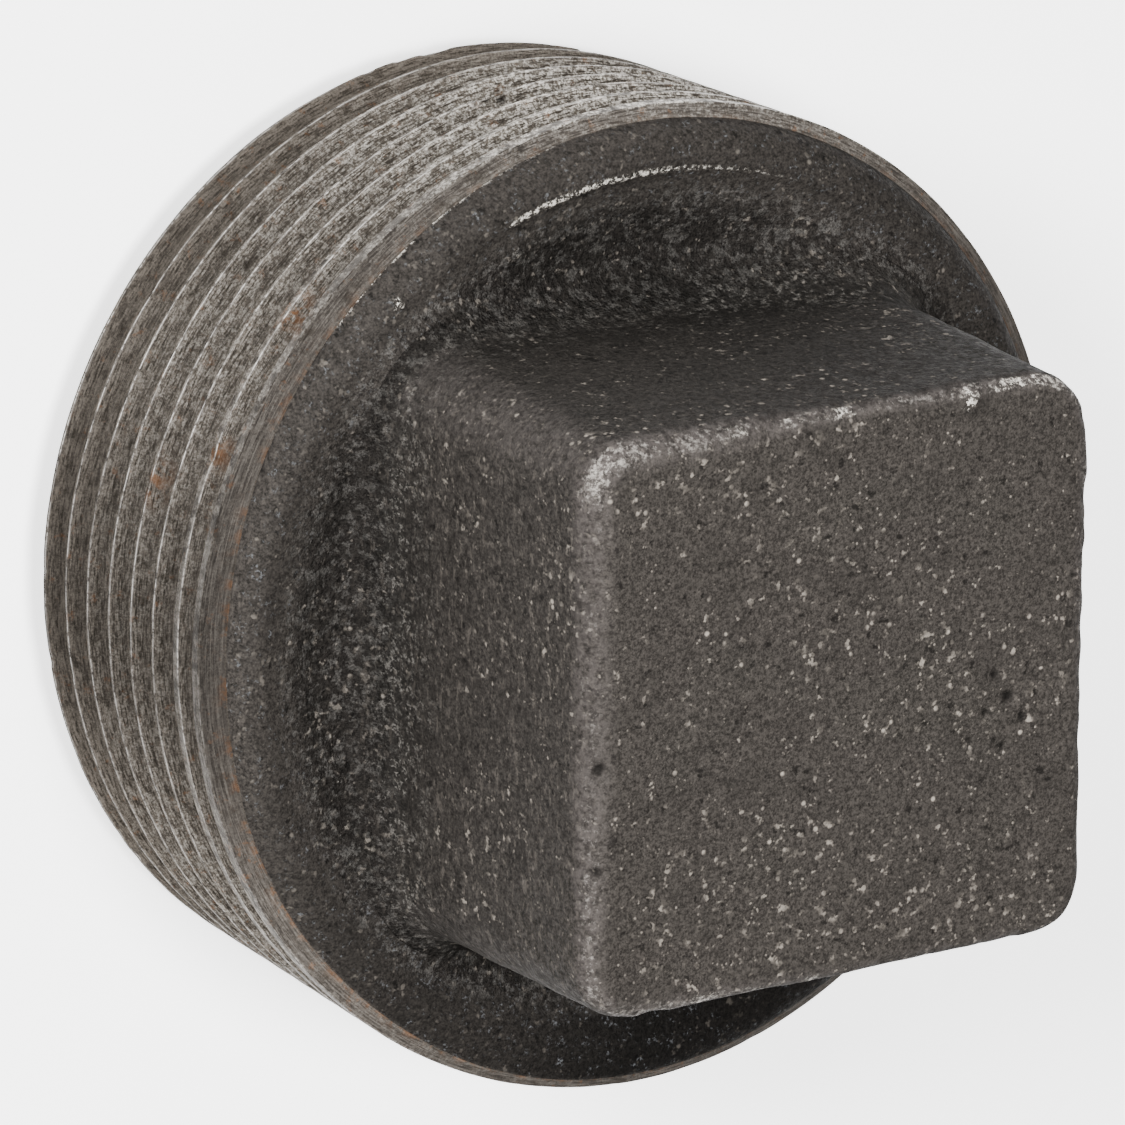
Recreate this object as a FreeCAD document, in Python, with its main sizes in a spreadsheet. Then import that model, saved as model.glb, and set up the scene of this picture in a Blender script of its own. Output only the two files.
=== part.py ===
"""Square-head pipe plug, 1-1/2 NPT, in cast iron: a FreeCAD macro in millimetres.

The plug is one casting. Its frame has the axis of the plug as Z, the threaded end on the plane
z = 0 and the square head on top. The four wrench flats face +X, -X, +Y and -Y.
"""

import FreeCAD, Part
import math
import os

import Sketcher

SHEET = "dims"

# Driving dimensions. Lengths are in millimetres and angles in degrees.
DIMENSIONS = {
    # Tapered thread, 1-1/2 NPT: 11.5 threads per inch and a 1 in 16 taper on the diameter.
    "thread_pitch": 2.2087,
    "end_crest_radius": 23.694,
    "taper_per_side": 1.0 / 32.0,
    "taper_half_angle": 1.79,
    "groove_depth": 1.6,
    "groove_root_flat": 0.16,
    "flank_angle": 30.0,
    # How far the cutting profile stands out of the crests.
    "groove_spill": 0.06,
    # Turns of groove at full depth, then the run-out, where it gets shallower until it is gone.
    "full_turns": 7.0,
    "runout_turns": 1.5,
    # Chamfer that starts the thread.
    "lead_chamfer_length": 2.0,
    "lead_chamfer_depth": 1.7,
    # Shoulder: the end of the thread, the turned band, the cast ring and the dish in it.
    "thread_end_height": 17.9,
    "band_inner_radius": 22.95,
    "band_inner_height": 18.35,
    "ring_edge_radius": 21.9,
    "ring_edge_height": 19.65,
    "ring_round_radius": 1.9,
    "dish_inner_radius": 14.1,
    "dish_round_radius": 7.8,
    # Square head: half its size across flats at the front face, and the draft of its sides.
    "head_front_height": 36.0,
    "head_root_height": 16.0,
    "head_front_half_width": 13.95,
    "head_front_corner_radius": 2.6,
    "head_draft_angle": 2.5,
    "head_edge_radius": 1.45,
    "head_root_fillet": 1.8,
    # Blind core hole in the threaded end.
    "core_mouth_radius": 17.6,
    "core_floor_radius": 16.9,
    "core_depth": 14.0,
    "core_round_radius": 3.0,
}


def make_sheet(doc):
    """Write the driving dimensions to a spreadsheet, one alias for each."""
    sheet = doc.addObject("Spreadsheet::Sheet", SHEET)
    for row, (alias, value) in enumerate(DIMENSIONS.items(), start=1):
        sheet.set(f"A{row}", alias)
        sheet.set(f"B{row}", str(value))
        sheet.setAlias(f"B{row}", alias)
    doc.recompute()
    return sheet


def dim(text):
    """Turn bare aliases in a formula into references to the sheet."""
    words = sorted(DIMENSIONS, key=len, reverse=True)
    for word in words:
        text = text.replace(word, f"<{words.index(word)}>")
    for index, word in enumerate(words):
        text = text.replace(f"<{index}>", f"{SHEET}.{word}")
    return text


def value_of(owner, formula):
    """The number that a formula on the sheet gives."""
    return float(owner.evalExpression(dim(formula)))


def origin_plane(body, role):
    """One of the body's own origin planes, by its role."""
    return next(item for item in body.Origin.OriginFeatures if item.Role == role)


def new_sketch(body, name, role, height=None):
    """A sketch on an origin plane, raised by a formula where one is given."""
    sketch = body.newObject("Sketcher::SketchObject", name)
    sketch.AttachmentSupport = (origin_plane(body, role), [""])
    sketch.MapMode = "FlatFace"
    if height:
        sketch.setExpression("AttachmentOffset.Base.z", dim(height))
    return sketch


def pin_point(sketch, edge, end, formulas):
    """Hold one end of an edge at the place that two formulas give."""
    for axis, kind, formula in ((-2, "DistanceX", formulas[0]), (-1, "DistanceY", formulas[1])):
        if formula == "0":
            sketch.addConstraint(Sketcher.Constraint("PointOnObject", edge, end, axis))
            continue
        value = value_of(sketch, formula)
        index = sketch.addConstraint(Sketcher.Constraint(kind, -1, 1, edge, end, value))
        sketch.setExpression(f"Constraints[{index}]", dim(formula))


def arc_between(start, end, radius, centre_side):
    """A short arc between two points; centre_side is +1 with its centre on the left."""
    middle = (start + end) * 0.5
    half = (end - start).Length / 2
    left = FreeCAD.Vector(start.y - end.y, end.x - start.x, 0).normalize()
    sagitta = radius - math.sqrt(radius * radius - half * half)
    return Part.Arc(start, middle - left * centre_side * sagitta, end)


def draw_profile(sketch, corners, arcs):
    """Draw a closed profile through corners given as formulas.

    arcs maps the index of a corner to the radius formula and centre side of the arc that leaves
    that corner. Every other edge is straight.
    """
    points = [FreeCAD.Vector(value_of(sketch, x), value_of(sketch, y), 0) for x, y in corners]
    ends = []
    for index, start in enumerate(points):
        end = points[(index + 1) % len(points)]
        if index not in arcs:
            sketch.addGeometry(Part.LineSegment(start, end))
            ends.append((1, 2))
            continue
        formula, side = arcs[index]
        arc = arc_between(start, end, value_of(sketch, formula), side)
        sketch.addGeometry(arc)
        # A sketch keeps its arcs anticlockwise, so an arc with its centre on the right is turned.
        ends.append((1, 2) if side > 0 else (2, 1))
    for index in range(len(points)):
        following = (index + 1) % len(points)
        sketch.addConstraint(
            Sketcher.Constraint("Coincident", index, ends[index][1], following, ends[following][0])
        )
    for index, formulas in enumerate(corners):
        pin_point(sketch, index, ends[index][0], formulas)
    for index, (formula, side) in arcs.items():
        radius = value_of(sketch, formula)
        row = sketch.addConstraint(Sketcher.Constraint("Radius", index, radius))
        sketch.setExpression(f"Constraints[{row}]", dim(formula))


def turn_round(body, kind, name, sketch):
    """A full turn of a profile about the plug's axis, added or cut."""
    feature = body.newObject(kind, name)
    feature.Profile = sketch
    feature.ReferenceAxis = (sketch, ["V_Axis"])
    feature.Angle = 360
    return feature


def add_blank(body):
    """The turned and cast blank: shank at the crest cone, band, ring and dish."""
    sketch = new_sketch(body, "blank_profile", "YZ_Plane")
    corners = [
        ("0", "0"),
        ("end_crest_radius - lead_chamfer_depth", "0"),
        ("end_crest_radius + lead_chamfer_length * taper_per_side", "lead_chamfer_length"),
        ("end_crest_radius + thread_end_height * taper_per_side", "thread_end_height"),
        ("band_inner_radius", "band_inner_height"),
        ("ring_edge_radius", "ring_edge_height"),
        ("dish_inner_radius", "ring_edge_height"),
        ("0", "ring_edge_height"),
    ]
    arcs = {4: ("ring_round_radius", 1), 5: ("dish_round_radius", -1)}
    draw_profile(sketch, corners, arcs)
    return turn_round(body, "PartDesign::Revolution", "blank", sketch)


def rounded_square(body, name, height, half_width, corner_radius):
    """A sketch of a square with round corners, centred on the axis at a height."""
    sketch = new_sketch(body, name, "XY_Plane", height)
    flat = f"({half_width}) - ({corner_radius})"
    corners = []
    arcs = {}
    for sx, sy in ((1, 1), (-1, 1), (-1, -1), (1, -1)):
        wide = (f"{sx} * ({half_width})", f"{sy} * ({flat})")
        tall = (f"{sx} * ({flat})", f"{sy} * ({half_width})")
        arcs[len(corners)] = (corner_radius, 1)
        corners += [wide, tall] if sx == sy else [tall, wide]
    draw_profile(sketch, corners, arcs)
    return sketch


def add_head(body):
    """The drafted square head, from inside the blank to its front face."""
    length = "(head_front_height - head_root_height)"
    spread = f"{length} * tan(head_draft_angle)"
    sketch = rounded_square(
        body,
        "head_root",
        "head_root_height",
        f"head_front_half_width + {spread}",
        f"head_front_corner_radius + {spread}",
    )
    head = body.newObject("PartDesign::Pad", "head")
    head.Profile = sketch
    head.setExpression("Length", dim(length))
    head.setExpression("TaperAngle", dim("-head_draft_angle"))
    return head


def add_fillet(body, name, base, edges, formula):
    """Round the edges of a feature that a test picks."""
    fillet = body.newObject("PartDesign::Fillet", name)
    fillet.Base = (base, edges)
    fillet.setExpression("Radius", dim(formula))
    return fillet


def front_edges(feature):
    """The edges of the head's front face."""
    front = DIMENSIONS["head_front_height"]
    return [
        f"Edge{number}"
        for number, edge in enumerate(feature.Shape.Edges, start=1)
        if abs(edge.BoundBox.ZMin - front) < 1e-6 and abs(edge.BoundBox.ZMax - front) < 1e-6
    ]


def root_edges(feature):
    """The edges where the head's sides and corners meet the dish."""
    low = DIMENSIONS["thread_end_height"]
    high = DIMENSIONS["ring_edge_height"] + 0.3
    ring = DIMENSIONS["ring_edge_radius"] - 0.1
    picked = []
    for number, edge in enumerate(feature.Shape.Edges, start=1):
        box = edge.BoundBox
        if box.ZMin < low or box.ZMax > high:
            continue
        middle = edge.valueAt((edge.FirstParameter + edge.LastParameter) / 2)
        if math.hypot(middle.x, middle.y) < ring:
            picked.append(f"Edge{number}")
    return picked


def cut_core(body):
    """The blind hole that the core leaves in the threaded end."""
    sketch = new_sketch(body, "core_profile", "XZ_Plane")
    corners = [
        ("0", "0"),
        ("core_mouth_radius", "0"),
        ("core_floor_radius", "core_depth - core_round_radius"),
        ("core_floor_radius - core_round_radius", "core_depth"),
        ("0", "core_depth"),
    ]
    draw_profile(sketch, corners, {2: ("core_round_radius", 1)})
    return turn_round(body, "PartDesign::Groove", "core_hole", sketch)


def groove_profile(body, name, centre):
    """The V of the thread groove at the +X side, with its root at full depth."""
    sketch = new_sketch(body, name, "XZ_Plane")
    crest = f"(end_crest_radius + {centre} * taper_per_side)"
    root_half = "groove_root_flat / 2"
    mouth_half = f"({root_half} + (groove_depth + groove_spill) * tan(flank_angle))"
    corners = [
        (f"{crest} - groove_depth", f"{centre} - {root_half}"),
        (f"{crest} + groove_spill", f"{centre} - {mouth_half}"),
        (f"{crest} + groove_spill", f"{centre} + {mouth_half}"),
        (f"{crest} - groove_depth", f"{centre} + {root_half}"),
    ]
    draw_profile(sketch, corners, {})
    return sketch


def cut_helix(body, name, sketch, turns, cone_angle):
    """Sweep a groove up a right-hand conical helix."""
    helix = body.newObject("PartDesign::SubtractiveHelix", name)
    helix.Profile = sketch
    helix.ReferenceAxis = (sketch, ["V_Axis"])
    helix.Mode = "pitch-turns-angle"
    helix.LeftHanded = False
    helix.setExpression("Pitch", dim("thread_pitch"))
    helix.setExpression("Turns", dim(turns))
    helix.setExpression("Angle", dim(cone_angle))
    return helix


def cut_thread_groove(body):
    """The turns of groove at full depth, along the taper."""
    start = "(thread_end_height - (runout_turns + full_turns) * thread_pitch)"
    sketch = groove_profile(body, "groove_profile", start)
    return cut_helix(body, "thread_groove", sketch, "full_turns", "taper_half_angle")


def cut_thread_runout(body):
    """The last turns, where the root of the groove climbs out to the crest at the shoulder."""
    start = "(thread_end_height - runout_turns * thread_pitch)"
    sketch = groove_profile(body, "runout_profile", start)
    climb = "groove_depth / (runout_turns * thread_pitch) + taper_per_side"
    return cut_helix(body, "thread_runout", sketch, "runout_turns", f"atan({climb})")


def volume_step(doc, body, words, before):
    """Rebuild, and stop if the step left the volume of the body as it was."""
    doc.recompute()
    change = body.Shape.Volume - before
    print(words, round(change, 1), "mm3")
    if abs(change) < 1:
        raise RuntimeError(f"no change: {words}")
    return body.Shape.Volume


def build_plug(doc):
    """The plug's one body."""
    body = doc.addObject("PartDesign::Body", "plug_body")
    body.Label = "plug_body"
    add_blank(body)
    volume = volume_step(doc, body, "blank", 0)
    cut_thread_groove(body)
    volume = volume_step(doc, body, "thread groove", volume)
    cut_thread_runout(body)
    volume = volume_step(doc, body, "thread run-out", volume)
    head = add_head(body)
    volume = volume_step(doc, body, "head", volume)
    edge_round = add_fillet(body, "head_edge_round", head, front_edges(head), "head_edge_radius")
    volume = volume_step(doc, body, "head edge round", volume)
    add_fillet(body, "head_root_round", edge_round, root_edges(edge_round), "head_root_fillet")
    volume = volume_step(doc, body, "head root round", volume)
    cut_core(body)
    volume_step(doc, body, "core hole", volume)
    return body


def check(doc, bodies):
    """Stop if an object failed or a sub-part is not one valid solid."""
    failed = [item.Name for item in doc.Objects if {"Invalid", "Error"} & set(item.State)]
    if failed:
        raise RuntimeError(f"these objects failed: {failed}")
    for body in bodies:
        shape = body.Shape
        if shape.isNull() or not shape.isValid() or len(shape.Solids) != 1:
            raise RuntimeError(f"{body.Label} is not one valid solid")
        print(body.Label, "volume", round(shape.Volume), "mm3", shape.BoundBox)


def main():
    doc = FreeCAD.newDocument("square_head_plug")
    make_sheet(doc)
    bodies = [build_plug(doc)]
    check(doc, bodies)
    os.makedirs("parts", exist_ok=True)
    for body in bodies:
        body.Shape.exportStep(f"parts/{body.Label}.step")


main()
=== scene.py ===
"""Square-head pipe plug: the visible casting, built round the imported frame. Shapes are in mm."""

import math
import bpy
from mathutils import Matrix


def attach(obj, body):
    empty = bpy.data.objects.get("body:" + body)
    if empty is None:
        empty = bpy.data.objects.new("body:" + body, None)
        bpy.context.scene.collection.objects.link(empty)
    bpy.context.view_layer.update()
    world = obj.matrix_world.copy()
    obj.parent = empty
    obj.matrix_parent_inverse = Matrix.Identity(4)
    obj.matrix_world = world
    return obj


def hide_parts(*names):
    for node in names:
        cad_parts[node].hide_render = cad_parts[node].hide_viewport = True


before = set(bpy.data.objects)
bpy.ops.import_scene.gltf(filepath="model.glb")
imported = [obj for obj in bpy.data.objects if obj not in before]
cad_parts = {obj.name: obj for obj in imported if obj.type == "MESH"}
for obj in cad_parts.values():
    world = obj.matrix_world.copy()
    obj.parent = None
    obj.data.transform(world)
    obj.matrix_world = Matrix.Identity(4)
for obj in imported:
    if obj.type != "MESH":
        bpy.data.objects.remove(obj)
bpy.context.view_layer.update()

from types import SimpleNamespace

import bmesh
import bpy
import numpy as np
from mathutils import Matrix, Vector

MM = 0.001

# Thread: 1-1/2 NPT, as in the solid model.
PITCH = 2.2087
END_CREST = 23.694
TAPER = 1.0 / 32.0
GROOVE_DEPTH = 1.66
ROOT_HALF = 0.08
FLANK = math.tan(math.radians(30))
GROOVES = 10
THREAD_TOP = 17.9
RUNOUT = 1.5 * PITCH
CHAMFER_LENGTH = 2.0
CHAMFER_DEPTH = 1.7

# The casting sat off centre when it was threaded, so the thread reaches further up on one side.
LEAN_ANGLE = math.radians(80)
LEAN_HEIGHT = 1.3

# Shoulder and head.
BAND_RISE = 0.35
RING_EDGE = 21.9
RING_START = RING_EDGE - 0.3
RING_TOP = 19.65
DISH_INNER = 14.1
DISH_SLOPE = 0.95
HEAD_FOOT = 18.9
HEAD_TOP = 36.0
HEAD_HALF = 13.95
DRAFT = 0.0437
CORNER_GROWTH = 0.09

# Core hole in the threaded end.
CORE_MOUTH = 17.6
CORE_FLOOR = 16.9
CORE_DEPTH = 14.0
CORE_ROUND = 3.0
CORE_WALL_ROWS = 12
CORE_ROUND_ROWS = 6
CORE_FLOOR_ROWS = 9

# Mesh: columns round the axis, and rows.
SIDE = 120
COLUMNS = 4 * SIDE
CORE_SKIP = 8
THETA = np.arange(COLUMNS + 1) * 2 * np.pi / COLUMNS
RING = THETA[:-1]
FLANK_STEPS = (1.0, 0.84, 0.58, 0.30, 0.0)
GROOVE_ROWS = 2 * len(FLANK_STEPS)
BAND_STEPS = (0.12, 0.4, 0.7, 0.94)
ROUND_ROWS = 9
DISH_ROWS = 24
WALL_ROWS = 50
SHARP_ANGLE = math.radians(42)

# Values round the axis, by degrees from +X. Each table starts at 0.
LIP_WORN = {0: 0.90, 60: 0.91, 120: 0.96, 225: 0.96, 270: 1.0, 315: 1.0}
CREST_WORN = {0: 0.96, 60: 0.97, 225: 0.97, 270: 1.0, 320: 0.99}
# Rubbed, flaky metal on the thread, with a painted sheen that is strongest towards 262 degrees.
RUBBED_AND_SHEEN = {0: 0.12, 60: 0.3, 120: 0.2, 215: 0.1, 262: 1.0, 318: 0.25}
BAND_WIDTH = {0: 1.3, 40: 0.9, 80: 0.45, 130: 0.45, 180: 0.6, 230: 0.7, 270: 0.7, 315: 1.1}
BAND_RUST = {0: 1.0, 50: 0.9, 120: 0.3, 200: 0.5, 270: 0.2, 325: 0.6}
# Painted glints along the band's inner edge.
BAND_DOTS = {0: 0.0, 270: 0.0, 284: 0.45, 300: 0.56, 314: 0.6, 322: 0.0}
RING_SOFTNESS = {0: 14, 45: 12, 90: 10, 135: 8, 180: 8, 225: 4, 262: 1, 290: 3, 320: 14}
# Painted glint along the ridge of the dish.
RIDGE = {0: 0.0, 225: 0.0, 245: 0.3, 262: 0.55, 274: 0.95, 288: 1.0, 297: 0.0}
DISH_DEPTH = {0: 1.35, 45: 1.0, 90: 1.2, 135: 1.0, 180: 1.2, 225: 0.65, 270: 1.6, 315: 1.0}
ROOT_ROUND = {0: 2.0, 45: 2.6, 90: 1.8, 135: 2.6, 180: 1.8, 225: 3.6, 270: 2.0, 315: 2.8}
VALLEY = {0: 0.9, 60: 0.7, 120: 0.4, 180: 0.4, 225: 0.5, 240: 0.9, 256: 0.9, 274: 0.4, 310: 0.6, 340: 0.85}
UPRIGHT_WORN = {0: 0.0, 45: 0.3, 135: 0.25, 225: 0.3, 315: 0.36}
FRONT_ROUND = {0: 1.5, 45: 1.1, 90: 0.85, 135: 1.0, 180: 1.3, 225: 0.95, 262: 0.8, 300: 1.35, 330: 1.5}
FRONT_WORN = {0: 0.69, 25: 0.84, 45: 0.90, 65: 0.95, 90: 0.6, 135: 0.5, 180: 0.7, 225: 0.95, 270: 0.88,
              300: 0.92, 314: 1.12, 330: 0.66}
FRONT_NARROW = {0: 1.0, 45: 1.0, 90: 1.5, 135: 1.2, 215: 1.3, 228: 2.2, 285: 2.2, 305: 1.0}
FRONT_BARE = {0: 0, 45: 0.3, 60: 0.55, 80: 0.55, 105: 0.3, 130: 0, 215: 0, 226: 0.52, 240: 0.62, 262: 0.52,
              285: 0.6, 300: 0.3, 315: 0.45, 330: 0}
FRONT_RAGGED = {0: 0.9, 90: 1.0, 180: 1.0, 225: 1.8, 262: 2.2, 300: 1.5}
# Painted shade round the axis, for the dish, the ring and the thread.
DISH_PAINTED_SHADE = {0: 0.76, 45: 0.81, 90: 0.90, 180: 0.75, 228: 0.68, 270: 0.83, 315: 0.80}
RING_PAINTED_SHADE = {0: 0.32, 60: 0.72, 90: 1.0, 140: 0.85, 180: 0.65, 225: 0.58, 270: 0.40, 315: 0.35}
METAL_PAINTED_SHADE = {0: 0.70, 40: 0.0, 90: 0.36, 180: 0.44, 270: 0.05, 315: 0.48}

# Dents and lumps of the casting: x, y, z, radius and height.
SPOTS = (
    (4.1, -23.4, 10.7, 0.45, -0.3), (3.2, -23.5, 11.0, 0.5, -0.35), (2.3, -23.6, 11.3, 0.45, -0.3),
    (6.4, -23.2, 18.2, 0.5, -0.3), (20.9, 10.9, 18.3, 0.5, -0.25), (22.0, -9.8, 15.8, 0.4, -0.2),
    (14.2, -17.0, 19.5, 0.4, 0.28), (13.5, -17.9, 19.5, 0.25, 0.15), (7.4, -18.5, 18.6, 0.7, 0.18),
    (-1.7, -18.8, 18.6, 0.4, 0.25), (16.9, 6.1, 18.6, 0.45, 0.2), (-6.8, -13.3, 35.7, 0.7, 0.28),
    (13.2, 1.4, 35.7, 0.6, -0.3), (13.3, 6.3, 35.7, 0.5, -0.2), (-8.6, 0.4, 36.0, 0.4, -0.2),
    (-9.4, 1.6, 36.0, 0.5, -0.25), (-8.1, 2.2, 36.0, 0.35, -0.18), (-10.2, 2.7, 36.0, 0.4, -0.2),
    (-7.2, 3.4, 36.0, 0.3, -0.14), (-9.0, 4.0, 36.0, 0.35, -0.16), (3.6, 8.1, 36.0, 0.3, -0.12),
)
PIT_SPREAD = 1.6
LUMP_SPREAD = 1.2
LUMP_ABOVE = 19.3
LUMP_GLINT_HIGH = 0.9
LUMP_GLINT_LOW = 0.5

# Rust stains on the thread: x, y, z and radius.
STAINS = (
    (17.7, -16.4, 15.8, 0.9), (18.1, -16.0, 16.8, 0.6), (22.0, -10.1, 15.9, 0.8), (22.9, -7.7, 11.4, 0.9),
)

# Uneven skin: height, size of its bumps and seed.
SKIN_BUMPS = ((0.06, 7.0, 1), (0.035, 2.6, 2), (0.03, 1.1, 3), (0.028, 0.6, 4))


# ---------------------------------------------------------------- noise

def lattice(ix, iy, iz, seed):
    """A fixed pseudo-random value from -1 to 1 at each whole-number point."""
    word = 0xFFFFFFFF
    h = (ix * 374761393 + iy * 668265263 + iz * 1274126177 + seed * 362437) & word
    h = ((h ^ (h >> 13)) * 1103515245) & word
    h = ((h ^ (h >> 16)) * 69069) & word
    half_range = 32767.5
    return ((h >> 8) & 0xFFFF) / half_range - 1


def noise(points, size, seed):
    """Smooth value noise at points, with features of about the given size."""
    p = points / size
    base = np.floor(p).astype(np.int64)
    f = p - base
    u = f * f * f * (f * (f * 6 - 15) + 10)
    total = np.zeros(len(p))
    for dx in (0, 1):
        for dy in (0, 1):
            for dz in (0, 1):
                weight = (
                    (u[:, 0] if dx else 1 - u[:, 0])
                    * (u[:, 1] if dy else 1 - u[:, 1])
                    * (u[:, 2] if dz else 1 - u[:, 2])
                )
                total += weight * lattice(base[:, 0] + dx, base[:, 1] + dy, base[:, 2] + dz, seed)
    return total


def smoothstep(low, high, x):
    """0 below low, 1 above high, and a smooth change between them."""
    t = np.clip((x - low) / (high - low), 0, 1)
    return t * t * (3 - 2 * t)


def around(theta, table):
    """Smooth values round the axis, from a table by degrees."""
    t = np.degrees(theta) % 360
    knots = np.array([*table, 360])
    heights = np.array([*table.values(), table[0]])
    index = np.clip(np.searchsorted(knots, t, side="right") - 1, 0, len(knots) - 2)
    f = (t - knots[index]) / (knots[index + 1] - knots[index])
    f = f * f * (3 - 2 * f)
    return heights[index] * (1 - f) + heights[index + 1] * f


# ---------------------------------------------------------------- thread

def thread_top(theta):
    """Where the turned surface ends: higher on the side that the casting leaned to."""
    lean = (0.5 + 0.5 * np.cos(theta - LEAN_ANGLE)) ** 4
    return THREAD_TOP + LEAN_HEIGHT * lean


def groove_reach(centre):
    """Depth of the groove whose centre is at a height: full, then running out at the shoulder."""
    past_end = 0.25
    left = np.clip((THREAD_TOP + past_end - centre) / RUNOUT, 0, 1)
    return GROOVE_DEPTH * (1 - (1 - left) ** 2)


def thread_radius(height, depth):
    """Radius of the threaded surface at a height, for a groove depth there."""
    cone = END_CREST + height * TAPER - depth
    lead = END_CREST - CHAMFER_DEPTH
    lead = lead + height / CHAMFER_LENGTH * (CHAMFER_DEPTH + CHAMFER_LENGTH * TAPER)
    return np.minimum(cone, lead)


def thread_rows():
    """Rows that follow the helix. Each is (height, groove depth, distance across, crest mark)."""
    crest_across, flank_across = 0.1, 1.85
    crest_marks = {-1: 1.0, 1: 0.35}
    rows = []
    for groove in range(GROOVES):
        centre = THREAD_TOP - PITCH * (GROOVES - 0.5 - groove - THETA / (2 * np.pi))
        reach = groove_reach(centre)
        half = ROOT_HALF + reach * FLANK
        for side, order in ((-1, FLANK_STEPS), (1, FLANK_STEPS[::-1])):
            for step in order:
                offset = side * (ROOT_HALF + (half - ROOT_HALF) * step)
                depth = reach * (1 - step)
                across = np.full_like(THETA, crest_across + flank_across * (1 - step))
                crest = smoothstep(0.2, 0.8, reach) * (step == 1.0) * crest_marks[side]
                rows.append((centre + offset, depth, across, crest))
    return rows + lip_rows(rows[-1][0])


def lip_rows(last_height):
    """The two rows at the end of the thread, just under its top edge and on it."""
    lip_width = 0.10
    top = thread_top(THETA)
    under = np.maximum(last_height, top - lip_width)
    flat = np.zeros_like(top)
    return [
        (under, flat, np.full_like(top, 0.3), flat),
        (top, flat, np.full_like(top, 0.1), around(THETA, LIP_WORN)),
    ]


# ---------------------------------------------------------------- shoulder and head

def corner_round(x, y):
    """Radius of the head's upright corners at its front, by quadrant."""
    far, near, other = 3.5, 2.4, 2.6
    return np.where((x < 0) & (y < 0), far, np.where((x > 0) & (y < 0), near, other))


def outline_round(x, y, z):
    """Radius of the head's upright corners at a height."""
    return corner_round(x, y) + (HEAD_TOP - z) * CORNER_GROWTH


def head_half(z):
    """Half the head's width across its flats at a height."""
    return HEAD_HALF + (HEAD_TOP - z) * DRAFT


def head_outline(theta, z):
    """Polar radius of the head's rounded square section."""
    c, s = np.cos(theta), np.sin(theta)
    half = head_half(z)
    r = outline_round(c, s, z)
    c, s = np.abs(c), np.abs(s)
    flat = half / np.maximum(c, s)
    in_corner = flat * np.minimum(c, s) > half - r
    b = (half - r) * (c + s)
    root = np.maximum(b * b - 2 * (half - r) ** 2 + r * r, 0)
    return np.where(in_corner, b + np.sqrt(root), flat)


def dish_height(radius, theta):
    """The dish between the ring and the head."""
    depth = around(theta, DISH_DEPTH)
    t = np.clip((radius - DISH_INNER) / (RING_EDGE - DISH_INNER), 0, 1)
    return RING_TOP - depth * np.sin(np.pi * t ** 0.7) ** 0.9


def side_distance(x, y, z):
    """Distance outside the head's four sides."""
    r = outline_round(x, y, z)
    inner = head_half(z) - r
    qx, qy = np.abs(x) - inner, np.abs(y) - inner
    outside = np.hypot(np.maximum(qx, 0), np.maximum(qy, 0))
    return outside + np.minimum(np.maximum(qx, qy), 0) - r


def head_terms(p):
    """Distances outside the head's sides and its front, and the radius of the edge between them."""
    x, y, z = p[:, 0], p[:, 1], p[:, 2]
    return side_distance(x, y, z), z - HEAD_TOP, around(np.arctan2(y, x), FRONT_ROUND)


def surface(p):
    """Signed distance to the head and dish, with round edges and a fillet at the root."""
    x, y, z = p[:, 0], p[:, 1], p[:, 2]
    theta = np.arctan2(y, x)
    sides, front, edge = head_terms(p)
    dish = (z - dish_height(np.hypot(x, y), theta)) * DISH_SLOPE
    root = around(theta, ROOT_ROUND)
    u, v = sides + edge, front + edge
    head = np.minimum(np.maximum(u, v), 0) + np.hypot(np.maximum(u, 0), np.maximum(v, 0)) - edge
    a, b = root - head, root - dish
    return np.maximum(root, np.minimum(head, dish)) - np.hypot(np.maximum(a, 0), np.maximum(b, 0))


def settle(p):
    """Move points on to the surface along its slope."""
    passes, step, least_slope, longest_move = 5, 0.01, 0.2, 0.6
    p = p.copy()
    for _ in range(passes):
        value = surface(p)
        slope = np.empty_like(p)
        for k in range(3):
            shift = np.zeros(3)
            shift[k] = step
            slope[:, k] = (surface(p + shift) - surface(p - shift)) / (2 * step)
        size = np.maximum((slope ** 2).sum(1), least_slope)
        move = (value / size)[:, None] * slope
        p -= np.clip(move, -longest_move, longest_move)
    return p


def polar(radius, theta, height):
    """Points from radii, angles and heights."""
    height = np.broadcast_to(height, np.shape(theta))
    return np.stack([radius * np.cos(theta), radius * np.sin(theta), height], axis=1)


# ---------------------------------------------------------------- mesh

class Shell:
    """Collects points, their marks and the faces between them."""

    marks = ("cast", "wear", "across", "crest", "rubbed", "rust", "valley", "ring", "ridge", "dish", "skin",
             "soot", "pit", "band", "side", "stain")

    def __init__(self):
        self.points = []
        self.values = {name: [] for name in self.marks}
        self.faces = []
        self.count = 0

    def add(self, points, **marks):
        """Add points with marks, and return their numbers."""
        points = np.asarray(points, float)
        self.points.append(points)
        for name in self.marks:
            self.values[name].append(np.broadcast_to(marks.get(name, 0.0), len(points)).astype(float))
        start = self.count
        self.count += len(points)
        return np.arange(start, self.count)

    def strip(self, low, high):
        """Faces between two closed loops of as many points."""
        for i in range(len(low)):
            j = (i + 1) % len(low)
            self.faces.append((low[i], low[j], high[j], high[i]))

    def joined(self):
        """Points, marks and faces, with points in the same place made one and empty faces left out."""
        points = np.concatenate(self.points)
        _, first, back = np.unique(np.round(points, 5), axis=0, return_index=True, return_inverse=True)
        back = back.ravel()
        faces = []
        for face in self.faces:
            loop = [int(back[v]) for v in face]
            loop = [v for k, v in enumerate(loop) if v != loop[k - 1]]
            if len(set(loop)) == len(loop) > 2:
                faces.append(loop)
        used = np.zeros(len(first), bool)
        for face in faces:
            used[face] = True
        renumber = np.cumsum(used) - 1
        faces = [[int(renumber[v]) for v in face] for face in faces]
        kept = first[used]
        values = {name: np.concatenate(parts)[kept] for name, parts in self.values.items()}
        return points[kept], values, faces


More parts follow.
